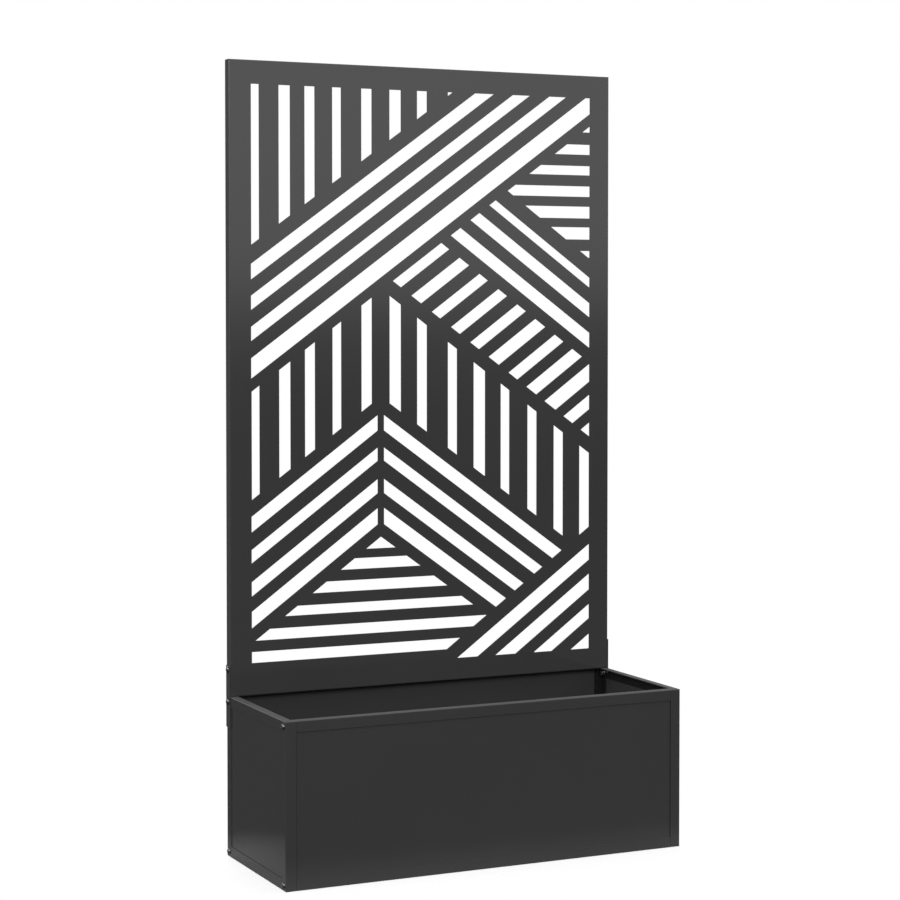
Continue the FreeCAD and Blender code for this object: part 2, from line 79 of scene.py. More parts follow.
class Combine(Enum):
    """How one solid is shaped by another."""

    CUT = "DIFFERENCE"
    WELD = "UNION"
    TRIM = "INTERSECT"


Seat = tuple[Side, float, float, float]


class ShaderSheet:
    """A small helper that lays out the nodes of one material."""

    def __init__(self, name: str) -> None:
        """Starts a material with a shader, an output and object coordinates.

        Args:
            name: the material's name.
        """
        self.material = bpy.data.materials.new(name)
        self.material.use_nodes = True
        self.tree = self.material.node_tree
        self.shader = self.tree.nodes["Principled BSDF"]
        self.place = self.tree.nodes.new("ShaderNodeTexCoord").outputs["Object"]

    def add(self, kind: str, **settings: object) -> bpy.types.Node:
        """Adds a node and sets its properties.

        Args:
            kind: the node's type name.
            settings: properties of the node.

        Returns:
            The new node.
        """
        node = self.tree.nodes.new(kind)
        for key, value in settings.items():
            setattr(node, key, value)
        return node

    def join(self, start: Socket, end: Socket) -> None:
        """Links one socket to another."""
        self.tree.links.new(start, end)

    def noise(self, scale: float, detail: float = 2.0, roughness: float = 0.5,
              stretch: tuple[float, float, float] = (1.0, 1.0, 1.0)) -> Socket:
        """Adds a noise pattern on object coordinates.

        Args:
            scale: cells per metre.
            detail: octaves of the pattern.
            roughness: how strong the finer octaves are.
            stretch: factors on the coordinates, for a pattern longer one way.

        Returns:
            The pattern's factor socket.
        """
        mapping = self.add("ShaderNodeMapping")
        mapping.inputs["Scale"].default_value = stretch
        self.join(self.place, mapping.inputs["Vector"])
        node = self.add("ShaderNodeTexNoise")
        node.inputs["Scale"].default_value = scale
        node.inputs["Detail"].default_value = detail
        node.inputs["Roughness"].default_value = roughness
        self.join(mapping.outputs["Vector"], node.inputs["Vector"])
        return node.outputs["Fac"]

    def spread(self, source: Socket, low: float, high: float,
               start: float = 0.3, end: float = 0.7) -> Socket:
        """Maps a pattern from one range to another, held at the ends.

        Args:
            source: the pattern.
            low: the result at the start of the pattern's range.
            high: the result at its end.
            start: the pattern's value that gives low.
            end: the pattern's value that gives high.

        Returns:
            The mapped socket.
        """
        node = self.add("ShaderNodeMapRange", clamp=True)
        limits = {"From Min": start, "From Max": end, "To Min": low, "To Max": high}
        for name, value in limits.items():
            node.inputs[name].default_value = value
        self.join(source, node.inputs["Value"])
        return node.outputs["Result"]

    def blend(self, factor: Socket, first: Colour | Socket, second: Colour) -> Socket:
        """Mixes two colours by a pattern.

        Args:
            factor: the pattern, 0 for the first colour and 1 for the second.
            first: a colour, or the socket of a mix made before.
            second: a colour.

        Returns:
            The mixed colour's socket.
        """
        node = self.add("ShaderNodeMix", data_type="RGBA", clamp_factor=True)
        self.join(factor, node.inputs["Factor"])
        if isinstance(first, Socket):
            self.join(first, node.inputs[COLOUR_FIRST])
        else:
            node.inputs[COLOUR_FIRST].default_value = (*first, 1.0)
        node.inputs[COLOUR_SECOND].default_value = (*second, 1.0)
        return node.outputs[COLOUR_RESULT]

    def times(self, first: Socket, second: Socket) -> Socket:
        """Multiplies two patterns.

        Args:
            first: a pattern.
            second: a pattern.

        Returns:
            The product's socket.
        """
        node = self.add("ShaderNodeMath", operation="MULTIPLY")
        self.join(first, node.inputs[0])
        self.join(second, node.inputs[1])
        return node.outputs["Value"]

    def lean(self, factor: Socket, first: Socket, second: float) -> Socket:
        """Moves a value towards another by a pattern.

        Args:
            factor: the pattern, 0 for the first value and 1 for the second.
            first: the socket of the first value.
            second: the second value.

        Returns:
            The result's socket.
        """
        node = self.add("ShaderNodeMix", data_type="FLOAT", clamp_factor=True)
        self.join(factor, node.inputs[FLOAT_FACTOR])
        self.join(first, node.inputs[FLOAT_FIRST])
        node.inputs[FLOAT_SECOND].default_value = second
        return node.outputs[FLOAT_RESULT]

    def facing(self, axis: str) -> Socket:
        """Gives one component of the surface's normal.

        Args:
            axis: X, Y or Z.

        Returns:
            The component's socket.
        """
        split = self.add("ShaderNodeSeparateXYZ")
        self.join(self.add("ShaderNodeTexCoord").outputs["Normal"], split.inputs["Vector"])
        return split.outputs[axis]

    def facing_up(self) -> Socket:
        """Marks the faces that look up, where dust settles and where level faces get painted
        shade, with 1 on a level face.
        """
        return self.spread(self.facing("Z"), 0.0, 1.0, start=0.55, end=0.95)

    def off_the_sheet(self) -> Socket:
        """Marks the cut and folded edges of an upright sheet, where painted shade and a rougher
        coat go.

        Returns:
            The mark's socket, 1 on the edges and 0 on the sheet's front and back.
        """
        size = self.add("ShaderNodeMath", operation="ABSOLUTE")
        self.join(self.facing("Y"), size.inputs[0])
        return self.spread(size.outputs["Value"], 1.0, 0.0, start=0.3, end=0.75)

    def relief(self, height: Socket, depth: float, below: Optional[Socket] = None) -> Socket:
        """Adds a bump of a given depth.

        Args:
            height: the pattern of heights.
            depth: the height of the pattern in metres.
            below: a bump that this one lies on.

        Returns:
            The bump's normal socket.
        """
        node = self.add("ShaderNodeBump")
        node.inputs["Strength"].default_value = 1.0
        node.inputs["Distance"].default_value = depth
        self.join(height, node.inputs["Height"])
        if below is not None:
            self.join(below, node.inputs["Normal"])
        return node.outputs["Normal"]


def shade(colour: Colour, factor: float) -> Colour:
    """Returns a colour made darker or lighter by a factor."""
    return (colour[0] * factor, colour[1] * factor, colour[2] * factor)


@dataclass(frozen=True)
class CreaseShade:
    """Painted shade: a dark line where a recessed panel meets the edge of a post or rail,
    standing in for the shade in that corner.
    """

    axis: str
    place: float
    width: float = 1.5 * MM
    sharp_share: float = 0.4

    def mark(self, sheet: ShaderSheet) -> Socket:
        """Marks the painted shade of the crease on both halves of a panel.

        Args:
            sheet: the material that is being built.

        Returns:
            The mark's socket, 1 in the crease.
        """
        size = sheet.add("ShaderNodeVectorMath", operation="ABSOLUTE")
        sheet.join(sheet.place, size.inputs[0])
        split = sheet.add("ShaderNodeSeparateXYZ")
        sheet.join(size.outputs["Vector"], split.inputs["Vector"])
        return sheet.spread(split.outputs[self.axis], 0.0, 1.0, start=self.place - self.width,
                            end=self.place - self.width * self.sharp_share)


@dataclass(frozen=True)
class PowderCoat:
    """Baked polyester coat: satin, with a faint orange peel, slight mottling and settled dust,
    and where set, painted shade on level faces, in creases and on cut edges.
    """

    name: str
    colour: Colour = (0.036, 0.036, 0.0365)
    cloud_scale: float = 3.2
    dark_mottle: float = 0.965
    pale_mottle: float = 1.035
    fleck_scale: float = 1900.0
    fleck_tone: float = 1.22
    gloss_roughness: float = 0.105
    roughness_spread: float = 0.015
    index: float = 1.58
    peel_scale: float = 420.0
    peel_depth: float = 0.0000016
    grain_scale: float = 2600.0
    grain_depth: float = 0.0000004
    dust: float = 0.12
    dust_scale: float = 26.0
    dust_colour: Colour = (0.11, 0.107, 0.102)
    dull_roughness: float = 0.92
    level_shade_tone: float = 1.0
    crease: Optional[CreaseShade] = None
    crease_shade_tone: float = 0.3
    cut_edge_shade_tone: float = 1.0
    cut_edge_roughness: float = 0.9

    def make(self) -> bpy.types.Material:
        """Builds the material.

        Returns:
            The finished material.
        """
        sheet = ShaderSheet(self.name)
        shader = sheet.shader
        shader.inputs["IOR"].default_value = self.index
        cloud = sheet.noise(self.cloud_scale, detail=3.0)
        mottle = sheet.spread(cloud, 0.0, 1.0)
        tone = sheet.blend(mottle, shade(self.colour, self.dark_mottle),
                           shade(self.colour, self.pale_mottle))
        fleck = sheet.spread(sheet.noise(self.fleck_scale, detail=1.0), 0.0, 1.0,
                             start=0.62, end=0.8)
        tone = sheet.blend(fleck, tone, shade(self.colour, self.fleck_tone))
        flat = sheet.facing_up()
        # Painted shade: level faces, such as the rim's top, are darkened to stand in for the
        # shade that falls on them.
        if self.level_shade_tone < 1.0:
            tone = sheet.blend(flat, tone, shade(self.colour, self.level_shade_tone))
        specks = sheet.noise(self.dust_scale, detail=5.0, roughness=0.62)
        settled = sheet.spread(specks, 0.0, self.dust, start=0.36, end=0.72)
        tone = sheet.blend(sheet.times(flat, settled), tone, self.dust_colour)
        # Painted shade along the crease where a panel meets a post or rail.
        if self.crease is not None:
            tone = sheet.blend(self.crease.mark(sheet), tone,
                               shade(self.colour, self.crease_shade_tone))
        rough = sheet.spread(cloud, self.gloss_roughness,
                             self.gloss_roughness + self.roughness_spread)
        rough = sheet.lean(flat, rough, self.dull_roughness)
        # Painted shade on the cut and folded edges, which also get a rougher coat.
        if self.cut_edge_shade_tone < 1.0:
            cut = sheet.off_the_sheet()
            tone = sheet.blend(cut, tone, shade(self.colour, self.cut_edge_shade_tone))
            rough = sheet.lean(cut, rough, self.cut_edge_roughness)
        sheet.join(tone, shader.inputs["Base Color"])
        sheet.join(rough, shader.inputs["Roughness"])
        peel = sheet.relief(sheet.noise(self.peel_scale, detail=1.5), self.peel_depth)
        grain = sheet.relief(sheet.noise(self.grain_scale, detail=1.0), self.grain_depth,
                             below=peel)
        sheet.join(grain, shader.inputs["Normal"])
        return sheet.material


@dataclass(frozen=True)
class BlackenedSteel:
    """Black finish of a bolt: dark satin metal with paler, rubbed patches."""

    name: str
    colour: Colour = (0.1, 0.1, 0.103)
    rubbed: Colour = (0.24, 0.24, 0.245)
    wear_scale: float = 900.0
    smooth: float = 0.24
    rough: float = 0.36
    satin_scale: float = 420.0
    pit_scale: float = 3200.0
    pit_depth: float = 0.000002

    def make(self) -> bpy.types.Material:
        """Builds the material.

        Returns:
            The finished material.
        """
        sheet = ShaderSheet(self.name)
        shader = sheet.shader
        shader.inputs["Metallic"].default_value = 1.0
        patches = sheet.noise(self.wear_scale, detail=4.0, roughness=0.6)
        wear = sheet.spread(patches, 0.0, 1.0, start=0.5, end=0.72)
        sheet.join(sheet.blend(wear, self.colour, self.rubbed), shader.inputs["Base Color"])
        satin = sheet.spread(sheet.noise(self.satin_scale), self.smooth, self.rough)
        sheet.join(satin, shader.inputs["Roughness"])
        pits = sheet.relief(sheet.noise(self.pit_scale, detail=2.0), self.pit_depth)
        sheet.join(pits, shader.inputs["Normal"])
        return sheet.material


@dataclass(frozen=True)
class ZincPlate:
    """Bright zinc plating: pale metal with a fine brushed grain and dull, clouded patches."""

    name: str
    colour: Colour = (0.55, 0.56, 0.57)
    dull: Colour = (0.4, 0.41, 0.42)
    cloud_scale: float = 380.0
    smooth: float = 0.24
    rough: float = 0.42
    brush_scale: float = 1500.0
    brush_stretch: tuple[float, float, float] = (4.0, 1.0, 1.0)
    brush_depth: float = 0.0000015

    def make(self) -> bpy.types.Material:
        """Builds the material.

        Returns:
            The finished material.
        """
        sheet = ShaderSheet(self.name)
        shader = sheet.shader
        shader.inputs["Metallic"].default_value = 1.0
        cloud = sheet.spread(sheet.noise(self.cloud_scale, detail=3.0), 0.0, 1.0)
        sheet.join(sheet.blend(cloud, self.colour, self.dull), shader.inputs["Base Color"])
        brush = sheet.noise(self.brush_scale, detail=2.0, stretch=self.brush_stretch)
        sheet.join(sheet.spread(brush, self.smooth, self.rough), shader.inputs["Roughness"])
        sheet.join(sheet.relief(brush, self.brush_depth), shader.inputs["Normal"])
        return sheet.material


def is_top(face: bmesh.types.BMFace) -> bool:
    """Tells whether a face looks up."""
    return face.normal.z > LEVEL_NORMAL


def is_bottom(face: bmesh.types.BMFace) -> bool:
    """Tells whether a face looks down."""
    return face.normal.z < -LEVEL_NORMAL


class Bench:
    """The few hand operations that the small parts are shaped with."""

    @staticmethod
    def clear() -> None:
        """Leaves edit mode and deselects everything."""
        if bpy.context.object is not None and bpy.context.object.mode != "OBJECT":
            bpy.ops.object.mode_set(mode="OBJECT")
        bpy.ops.object.select_all(action="DESELECT")

    @staticmethod
    def focus(piece: bpy.types.Object) -> None:
        """Selects one piece alone and makes it the active one.

        Args:
            piece: the object.
        """
        bpy.ops.object.select_all(action="DESELECT")
        bpy.context.view_layer.objects.active = piece
        piece.select_set(True)

    @staticmethod
    def cylinder(sides: int, radius: float, depth: float, middle: float) -> bpy.types.Object:
        """Adds a cylinder or prism round the Z axis, with its place in its mesh.

        Args:
            sides: number of its sides.
            radius: distance from the axis to a corner, in metres.
            depth: its length along Z.
            middle: height of its middle.

        Returns:
            The cylinder.
        """
        Bench.clear()
        bpy.ops.mesh.primitive_cylinder_add(vertices=sides, radius=radius, depth=depth,
                                            location=(0.0, 0.0, middle))
        bpy.ops.object.transform_apply(location=True, rotation=True, scale=True)
        return bpy.context.object

    @staticmethod
    def faces(piece: bpy.types.Object, wanted: Callable[[bmesh.types.BMFace], bool]) -> None:
        """Selects the faces of the piece in edit mode that a test accepts.

        Args:
            piece: the object in edit mode.
            wanted: test of one face.
        """
        bpy.ops.mesh.select_mode(type="FACE")
        bpy.ops.mesh.select_all(action="DESELECT")
        shape = bmesh.from_edit_mesh(piece.data)
        for face in shape.faces:
            if wanted(face):
                face.select_set(True)
        bmesh.update_edit_mesh(piece.data)

    @staticmethod
    def grow(rise: float, scale: float) -> None:
        """Extrudes the selected end face along Z and scales it.

        Args:
            rise: how far the face moves, in metres.
            scale: factor on its width.
        """
        bpy.ops.mesh.extrude_region_move(TRANSFORM_OT_translate={"value": (0.0, 0.0, rise)})
        bpy.ops.transform.resize(value=(scale, scale, 1.0))

    @staticmethod
    def combine(piece: bpy.types.Object, tool: bpy.types.Object, way: Combine) -> None:
        """Shapes one object by another and deletes the other.

        Args:
            piece: the object that is shaped.
            tool: the object that shapes it.
            way: whether the tool is cut out, welded on, or all that is kept.
        """
        shaped = piece.modifiers.new("shaped", "BOOLEAN")
        shaped.operation = way.value
        shaped.solver = "EXACT"
        shaped.object = tool
        Bench.focus(piece)
        bpy.ops.object.modifier_apply(modifier=shaped.name)
        bpy.data.objects.remove(tool, do_unlink=True)

    @staticmethod
    def soften(piece: bpy.types.Object, width: float, angle: float = 32.0) -> None:
        """Bevels the sharp edges of a piece and shades it smooth between them.

        Args:
            piece: the object.
            width: width of the bevel in metres.
            angle: edges sharper than this many degrees are bevelled.
        """
        bevel = piece.modifiers.new("edge", "BEVEL")
        bevel.width = width
        bevel.segments = 2
        bevel.limit_method = "ANGLE"
        bevel.angle_limit = math.radians(angle)
        Bench.focus(piece)
        bpy.ops.object.modifier_apply(modifier=bevel.name)
        bpy.ops.object.shade_smooth_by_angle(angle=math.radians(angle))

    @staticmethod
    def copy(master: bpy.types.Object, name: str, turn: Matrix) -> bpy.types.Object:
        """Copies a finished piece with a mesh of its own and sets it in place.

        Args:
            master: the piece that is repeated.
            name: the copy's name.
            turn: its place, which goes into the mesh.

        Returns:
            The copy, with its object at the origin.
        """
        piece = bpy.data.objects.new(name, master.data.copy())
        bpy.context.scene.collection.objects.link(piece)
        piece.data.transform(turn)
        piece.data.update()
        return piece


def facing_out(side: Side, x: float, y: float, z: float) -> Matrix:
    """Gives the place of a part that is drawn along +Z and points out of an end of the planter.

    Args:
        side: the end of the planter.
        x: distance of the part's seat from the middle, in metres.
        y: its depth.
        z: its height.

    Returns:
        The matrix that turns +Z outwards and moves the part to its seat.
    """
    turn = Matrix.Rotation(side.value * math.pi / 2, 4, "Y")
    return Matrix.Translation((side.value * x, y, z)) @ turn


@dataclass
class ButtonBolts:
    """Flanged button-head bolts with a hexagon socket and a rolled thread."""

    finish: BlackenedSteel
    flange_radius: float = 6.5 * MM
    flange_rise: float = 0.8 * MM
    dome_radius: float = 5.3 * MM
    head_height: float = 3.6 * MM
    socket_width: float = 4.0 * MM
    socket_depth: float = 2.2 * MM
    socket_tip: float = 0.5 * MM
    socket_tip_scale: float = 0.12
    thread_radius: float = 3.0 * MM
    root_radius: float = 2.55 * MM
    thread_pitch: float = 1.0 * MM
    plain_length: float = 1.0 * MM
    point_scale: float = 0.82
    dome_angle: float = 62.0
    dome_steps: int = 5

    def master(self, length: float) -> bpy.types.Object:
        """Models one bolt along Z, with the underside of its head at the origin.

        Args:
            length: length of its shank.

        Returns:
            The bolt.
        """
        bolt = Bench.cylinder(TURNED_SIDES, self.flange_radius, self.flange_rise,
                              self.flange_rise / 2)
        bpy.ops.object.mode_set(mode="EDIT")
        Bench.faces(bolt, is_top)
        bpy.ops.mesh.inset(thickness=self.flange_radius - self.dome_radius)
        self._dome()
        Bench.faces(bolt, is_bottom)
        bpy.ops.mesh.inset(thickness=self.flange_radius - self.thread_radius)
        self._thread(length)
        bpy.ops.object.mode_set(mode="OBJECT")
        self._socket(bolt)
        Bench.soften(bolt, EDGE_WIDTH)
        return bolt

    def _dome(self) -> None:
        """Raises the selected face of the flange into the dome of the head."""
        rise = self.head_height - self.flange_rise
        sweep = math.radians(self.dome_angle)
        before_radius, before_height = self.dome_radius, 0.0
        for step in range(1, self.dome_steps + 1):
            angle = sweep * step / self.dome_steps
            radius = self.dome_radius * math.cos(angle)
            height = rise * math.sin(angle) / math.sin(sweep)
            Bench.grow(height - before_height, radius / before_radius)
            before_radius, before_height = radius, height

    def _thread(self, length: float) -> None:
        """Draws the selected face of the underside down into the threaded shank.

        Args:
            length: length of the shank.
        """
        Bench.grow(-self.plain_length, 1.0)
        inward = self.root_radius / self.thread_radius
        outward = self.thread_radius / self.root_radius
        turns = int((length - 2.0 * self.plain_length) / self.thread_pitch)
        for _ in range(turns):
            Bench.grow(-self.thread_pitch / 2, inward)
            Bench.grow(-self.thread_pitch / 2, outward)
        rest = length - self.plain_length - turns * self.thread_pitch
        Bench.grow(-rest, self.point_scale)

    def _socket(self, bolt: bpy.types.Object) -> None:
        """Cuts the hexagon socket into the head.

        Args:
            bolt: the bolt.
        """
        Bench.clear()
        bpy.ops.mesh.primitive_cylinder_add(
            vertices=HEXAGON_SIDES, radius=self.socket_width / math.sqrt(3.0),
            depth=self.socket_depth * 2, location=(0.0, 0.0, self.head_height))
        key = bpy.context.object
        bpy.ops.object.mode_set(mode="EDIT")
        Bench.faces(key, is_bottom)
        Bench.grow(-self.socket_tip, self.socket_tip_scale)
        bpy.ops.object.mode_set(mode="OBJECT")
        Bench.combine(bolt, key, Combine.CUT)

    def fit(self, node: str, label: str, length: float, seats: Iterable[Seat]) -> None:
        """Sets a bolt on each seat in place of a node of the frame.

        Args:
            node: the node that the bolts replace.
            label: name of the pieces, before their number.
            length: length of each shank.
            seats: side, distance from the middle, depth and height of each head's underside.
        """
        master = self.master(length)
        material = self.finish.make()
        for number, (side, x, y, z) in enumerate(seats, start=1):
            bolt = Bench.copy(master, f"{label}_{number}", facing_out(side, x, y, z))
            bolt.data.materials.clear()
            bolt.data.materials.append(material)
            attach(bolt, ROOT)
            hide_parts(node)
            LOG.info("%s: %d faces", bolt.name, len(bolt.data.polygons))
        bpy.data.objects.remove(master, do_unlink=True)


@dataclass
class FlangeNuts:
    """Hexagon nuts with a round flange, a chamfered top and a plain, countersunk bore."""

    finish: ZincPlate
    width: float = 10.0 * MM
    height: float = 5.0 * MM
    flange_radius: float = 6.4 * MM
    flange_edge: float = 0.7 * MM
    flange_height: float = 1.5 * MM
    chamfer: float = 0.5 * MM
    chamfer_share: float = 0.97
    chamfer_play: float = 1.02
    bore_radius: float = 3.05 * MM
    bore_sides: int = 32
    bore_start: float = -1.0 * MM
    countersink_depth: float = 0.5 * MM
    countersink_rise: float = 0.7 * MM
    countersink_scale: float = 1.22

    def master(self) -> bpy.types.Object:
        """Models one nut along Z, with its seat at the origin.

        Returns:
            The nut.
        """
        corner = self.width / math.sqrt(3.0)
        flange = Bench.cylinder(TURNED_SIDES, self.flange_radius, self.flange_edge,
                                self.flange_edge / 2)
        bpy.ops.object.mode_set(mode="EDIT")
        Bench.faces(flange, is_top)
        Bench.grow(self.flange_height - self.flange_edge, self.width / 2 / self.flange_radius)
        bpy.ops.object.mode_set(mode="OBJECT")
        nut = Bench.cylinder(HEXAGON_SIDES, corner, self.height, self.height / 2)
        self._chamfer(nut, corner)
        Bench.combine(nut, flange, Combine.WELD)
        Bench.combine(nut, self._bore(), Combine.CUT)
        Bench.soften(nut, EDGE_WIDTH)
        return nut

    def _chamfer(self, nut: bpy.types.Object, corner: float) -> None:
        """Turns the chamfer of the top onto the hexagon's corners.

        Args:
            nut: the hexagon.
            corner: distance from the middle to a corner.
        """
        radius = corner * self.chamfer_play
        turned = Bench.cylinder(TURNED_SIDES, radius, self.height * 2, 0.0)
        bpy.ops.object.mode_set(mode="EDIT")
        Bench.faces(turned, is_top)
        bpy.ops.transform.translate(value=(0.0, 0.0, -self.chamfer))
        Bench.grow(self.chamfer, self.width / 2 * self.chamfer_share / radius)
        bpy.ops.object.mode_set(mode="OBJECT")
        Bench.combine(nut, turned, Combine.TRIM)

    def _bore(self) -> bpy.types.Object:
        """Models the tool that cuts the bore, with a countersink at its top.

        Returns:
            The tool.
        """
        start, end = self.bore_start, self.height - self.countersink_depth
        tool = Bench.cylinder(self.bore_sides, self.bore_radius, end - start, (start + end) / 2)
        bpy.ops.object.mode_set(mode="EDIT")
        Bench.faces(tool, is_top)
        Bench.grow(self.countersink_rise, self.countersink_scale)
        bpy.ops.object.mode_set(mode="OBJECT")
        return tool

    def fit(self, node: str, seats: Iterable[Seat]) -> None:
        """Sets a nut on each seat, facing into the planter.

        Args:
            node: the node that the nuts replace.
            seats: side, distance from the middle, depth and height of each nut's seat.
        """
        master = self.master()
        material = self.finish.make()
        for number, (side, x, y, z) in enumerate(seats, start=1):
            turn = facing_out(side, x, y, z) @ Matrix.Rotation(math.pi, 4, "Y")
            nut = Bench.copy(master, f"flange_nut_{number}", turn)
            nut.data.materials.clear()
            nut.data.materials.append(material)
            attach(nut, ROOT)
            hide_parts(node)
            LOG.info("%s: %d faces", nut.name, len(nut.data.polygons))
        bpy.data.objects.remove(master, do_unlink=True)


def dress(nodes: Iterable[str], material: bpy.types.Material) -> None:
    """Gives nodes of the frame a material and reports each.

    Args:
        nodes: names of the nodes.
        material: the material.
    """
    for name in nodes:
        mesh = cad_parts[name].data
        mesh.materials.clear()
        mesh.materials.append(material)
        LOG.info("%s: %s", name, material.name)


@dataclass
class PlanterBox:
    """The open box: four panels, four posts, eight rails and the floor tray."""

    edge_coat: PowderCoat
    long_coat: PowderCoat
    side_coat: PowderCoat
    tray_coat: PowderCoat
    long_panels: tuple[str, ...] = ("front_panel", "rear_panel")
    side_panels: tuple[str, ...] = ("left_panel", "right_panel")
    posts: tuple[str, ...] = (
        "front_left_post", "front_right_post", "rear_left_post", "rear_right_post")
    rails: tuple[str, ...] = (
        "front_top_rail", "rear_top_rail", "left_top_rail", "right_top_rail",
        "front_bottom_rail", "rear_bottom_rail", "left_bottom_rail", "right_bottom_rail")
    tray: str = "floor_tray"

    def dress(self) -> None:
        """Coats the sheets of the box."""
        dress(self.long_panels, self.long_coat.make())
        dress(self.side_panels, self.side_coat.make())
        dress(self.posts + self.rails, self.edge_coat.make())
        dress((self.tray,), self.tray_coat.make())


@dataclass
class TrellisScreen:
    """The cut screen with its folded edges, and the two straps that tie it to the box."""

    coat: PowderCoat
    screen: str = "trellis_screen"
    straps: tuple[str, ...] = ("left_strap", "right_strap")

    def dress(self) -> None:
        """Coats the screen and the straps."""
        dress((self.screen,) + self.straps, self.coat.make())


@dataclass
class Studio:
    """A pale floor, a dark ground unseen by the camera, an even surround and soft lamps."""

    footprint: tuple[float, float, float] = (0.4, 0.15, 10.0)
    floor_height: float = -0.0004
    floor_cover: float = 0.3
    floor_reach: float = 0.2
    ground_height: float = -0.004
    ground_half: float = 3000.0
    floor_colour: Colour = (0.86, 0.86, 0.86)
    ground_colour: Colour = (0.045, 0.045, 0.045)
    surround: float = 0.62
    lamps: tuple[tuple[str, tuple[float, float, float], float, float], ...] = (
        ("key", (-1.3, -4.4, 3.0), 2.0, 168.0),
        ("left", (-4.5, -0.4, 3.0), 2.0, 118.0),
        ("right", (4.5, -0.8, 3.0), 2.0, 110.0),
        ("back", (0.8, 4.4, 3.0), 2.0, 135.0),
    )
    target: tuple[float, float, float] = (0.0, 0.0, 0.6)

    def build(self) -> None:
        """Builds the floor, the ground under it, the surround and the lamps."""
        self._floor()
        self._ground()
        self._world()
        for name, place, width, power in self.lamps:
            self._lamp(name, Vector(place), width, power)

    def _plane(self, name: str, half: float, height: float) -> bpy.types.Object:
        """Adds a square stage sheet.

        Args:
            name: its name.
            half: half of its width.
            height: its height.

        Returns:
            The sheet.
        """
        Bench.clear()
        bpy.ops.mesh.primitive_plane_add(size=2 * half, location=(0.0, 0.0, height))
        sheet = bpy.context.object
        sheet.name = name
        bpy.ops.object.transform_apply(location=True, rotation=True, scale=True)
        return sheet

    def _floor(self) -> None:
        """Adds the pale board under the planter, whose edge fades out."""
        half = self.footprint[0] + self.floor_reach
        board = self._plane("studio_floor", half, self.floor_height)
        sheet = ShaderSheet("studio_floor")
        sheet.shader.inputs["Roughness"].default_value = 0.9
        sheet.shader.inputs["Specular IOR Level"].default_value = 0.1
        tone = sheet.blend(sheet.noise(scale=1.4), self.floor_colour,
                           shade(self.floor_colour, factor=0.99))
        sheet.join(tone, sheet.shader.inputs["Base Color"])
        size = sheet.add("ShaderNodeVectorMath", operation="ABSOLUTE")
        sheet.join(sheet.place, size.inputs[0])
        past = sheet.add("ShaderNodeVectorMath", operation="SUBTRACT")
        past.inputs[1].default_value = self.footprint
        sheet.join(size.outputs["Vector"], past.inputs[0])
        outside = sheet.add("ShaderNodeVectorMath", operation="MAXIMUM")
        outside.inputs[1].default_value = (0.0, 0.0, 0.0)
        sheet.join(past.outputs["Vector"], outside.inputs[0])
        away = sheet.add("ShaderNodeVectorMath", operation="LENGTH")
        sheet.join(outside.outputs["Vector"], away.inputs[0])
        cover = sheet.spread(away.outputs["Value"], self.floor_cover, 0.0,
                             start=0.0, end=self.floor_reach)
        sheet.join(cover, sheet.shader.inputs["Alpha"])
        board.data.materials.append(sheet.material)

    def _ground(self) -> None:
        """Adds the dark ground that the coat mirrors below the horizon, unseen by the camera."""
        ground = self._plane("studio_ground", self.ground_half, self.ground_height)
        sheet = ShaderSheet("studio_ground")
        sheet.shader.inputs["Roughness"].default_value = 1.0
        sheet.shader.inputs["Specular IOR Level"].default_value = 0.0
        tone = sheet.blend(sheet.noise(scale=0.8), self.ground_colour,
                           shade(self.ground_colour, factor=1.1))
        sheet.join(tone, sheet.shader.inputs["Base Color"])
        ground.data.materials.append(sheet.material)
        ground.visible_camera = False
        ground.visible_shadow = False

    def _world(self) -> None:
        """Lights the set evenly, with a white surround for the camera and in reflections."""
        world = bpy.data.worlds.new("studio")
        bpy.context.scene.world = world
        world.use_nodes = True
        tree = world.node_tree
        tree.nodes.clear()
        path = tree.nodes.new("ShaderNodeLightPath")
        seen = tree.nodes.new("ShaderNodeMath")
        seen.operation = "MAXIMUM"
        tree.links.new(path.outputs["Is Camera Ray"], seen.inputs[0])
        tree.links.new(path.outputs["Is Glossy Ray"], seen.inputs[1])
        through = tree.nodes.new("ShaderNodeMath")
        through.operation = "MAXIMUM"
        tree.links.new(seen.outputs["Value"], through.inputs[0])
        tree.links.new(path.outputs["Is Transmission Ray"], through.inputs[1])
        level = tree.nodes.new("ShaderNodeMapRange")
        level.inputs["To Min"].default_value = self.surround
        level.inputs["To Max"].default_value = 1.0
        tree.links.new(through.outputs["Value"], level.inputs["Value"])
        background = tree.nodes.new("ShaderNodeBackground")
        tree.links.new(level.outputs["Result"], background.inputs["Strength"])
        background.inputs["Color"].default_value = (1.0, 1.0, 1.0, 1.0)
        out = tree.nodes.new("ShaderNodeOutputWorld")
        tree.links.new(background.outputs["Background"], out.inputs["Surface"])

    def _lamp(self, name: str, place: Vector, width: float, power: float) -> None:
        """Adds a square soft lamp that points at the planter.

        Args:
            name: the lamp's name.
            place: its place.
            width: its width.
            power: its power in watts.
        """
        lamp = bpy.data.lights.new(name, "AREA")
        lamp.shape = "SQUARE"
        lamp.size = width
        lamp.energy = power
        holder = bpy.data.objects.new(name, lamp)
        holder.location = place
        aim = Vector(self.target) - place
        holder.rotation_euler = aim.to_track_quat("-Z", "Y").to_euler()
        bpy.context.scene.collection.objects.link(holder)


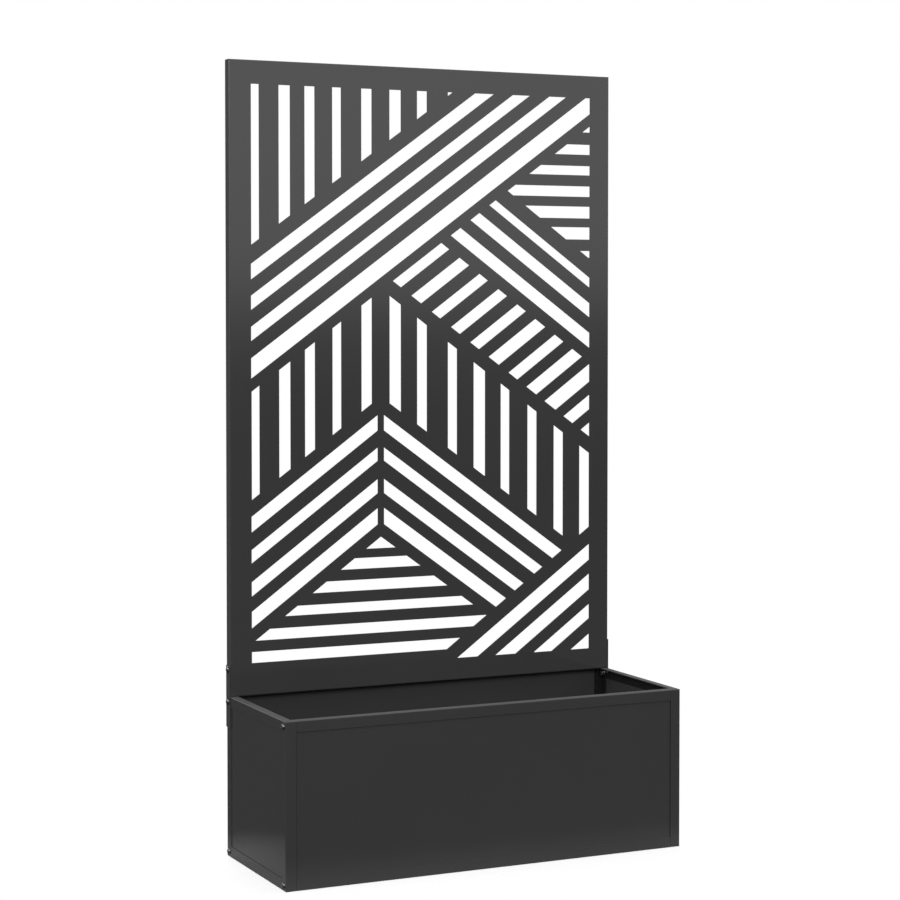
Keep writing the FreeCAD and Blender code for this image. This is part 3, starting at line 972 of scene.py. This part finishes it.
@dataclass
class StudioCamera:
    """The camera at the photograph's viewing angle."""

    place: tuple[float, float, float] = (-1.8433, -3.8667, 1.0301)
    yaw: float = 25.353
    pitch: float = -1.864
    lens: float = 91.65
    shift: float = -0.08
    sensor: float = 36.0

    def build(self) -> None:
        """Adds the camera and makes it the scene's own."""
        camera = bpy.data.cameras.new("camera")
        camera.sensor_width = self.sensor
        camera.lens = self.lens
        camera.shift_y = self.shift
        holder = bpy.data.objects.new("camera", camera)
        holder.location = self.place
        tilt, turn = math.radians(90.0 + self.pitch), math.radians(-self.yaw)
        holder.rotation_euler = (tilt, 0.0, turn)
        bpy.context.scene.collection.objects.link(holder)
        bpy.context.scene.camera = holder


@dataclass
class BoltPlan:
    """Where the bolts and nuts sit, in the frame's own places, and how long the bolts are."""

    corner_length: float = 10.0 * MM
    strap_length: float = 12.0 * MM
    front: float = -140.0 * MM
    back: float = 140.0 * MM
    low: float = 10.0 * MM
    high: float = 290.0 * MM
    above: float = 350.0 * MM
    post_face: float = 400.0 * MM
    strap_face: float = 401.5 * MM
    wall_seat: float = 396.1 * MM
    screen_seat: float = 398.0 * MM
    sides: tuple[Side, ...] = (Side.LEFT, Side.RIGHT)

    def corners(self) -> list[Seat]:
        """Gives the seats of the corner bolts' heads.

        Returns:
            The seats, left side first.
        """
        spots = ((self.front, self.low), (self.back, self.low), (self.front, self.high))
        return [(side, self.post_face, y, z) for side in self.sides for y, z in spots]

    def straps(self) -> list[Seat]:
        """Gives the seats of the heads on the straps.

        Returns:
            The seats, left side first.
        """
        return [(side, self.strap_face, self.back, z)
                for side in self.sides for z in (self.high, self.above)]

    def nuts(self) -> list[Seat]:
        """Gives the seats of the nuts.

        Returns:
            The seats, left side first.
        """
        spots = ((self.front, self.low, self.wall_seat), (self.back, self.low, self.wall_seat),
                 (self.front, self.high, self.wall_seat), (self.back, self.high, self.wall_seat),
                 (self.back, self.above, self.screen_seat))
        return [(side, x, y, z) for side in self.sides for y, z, x in spots]


def main() -> None:
    """Builds the set, then the planter, piece by piece."""
    logging.basicConfig(level=logging.INFO, format="%(name)s: %(message)s")
    bpy.context.scene.view_settings.view_transform = "Standard"
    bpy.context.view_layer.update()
    StudioCamera().build()
    Studio().build()
    PlanterBox(
        # The posts and rails carry painted shade on their level faces, at 0.45 of the coat's
        # colour.
        edge_coat=PowderCoat("edge_coat", dust=0.04, level_shade_tone=0.45),
        # The panels carry painted shade in the creases along the posts and rails.
        long_coat=PowderCoat("long_panel_coat", crease=CreaseShade(axis="X", place=380.0 * MM)),
        side_coat=PowderCoat("side_panel_coat", crease=CreaseShade(axis="Z", place=280.0 * MM)),
        tray_coat=PowderCoat("tray_coat", dust=0.5, gloss_roughness=0.3),
    ).dress()
    # The screen's cut and folded edges carry painted shade at 0.35 of the coat's colour.
    TrellisScreen(PowderCoat("screen_coat", dust=0.04, cut_edge_shade_tone=0.35)).dress()
    plan = BoltPlan()
    bolts = ButtonBolts(BlackenedSteel("blackened_steel"))
    bolts.fit("corner_bolts", "corner_bolt", plan.corner_length, plan.corners())
    bolts.fit("strap_bolts", "strap_bolt", plan.strap_length, plan.straps())
    FlangeNuts(ZincPlate("zinc_plate")).fit("hex_nuts", plan.nuts())
    bpy.context.view_layer.update()


if __name__ == "__main__":
    main()
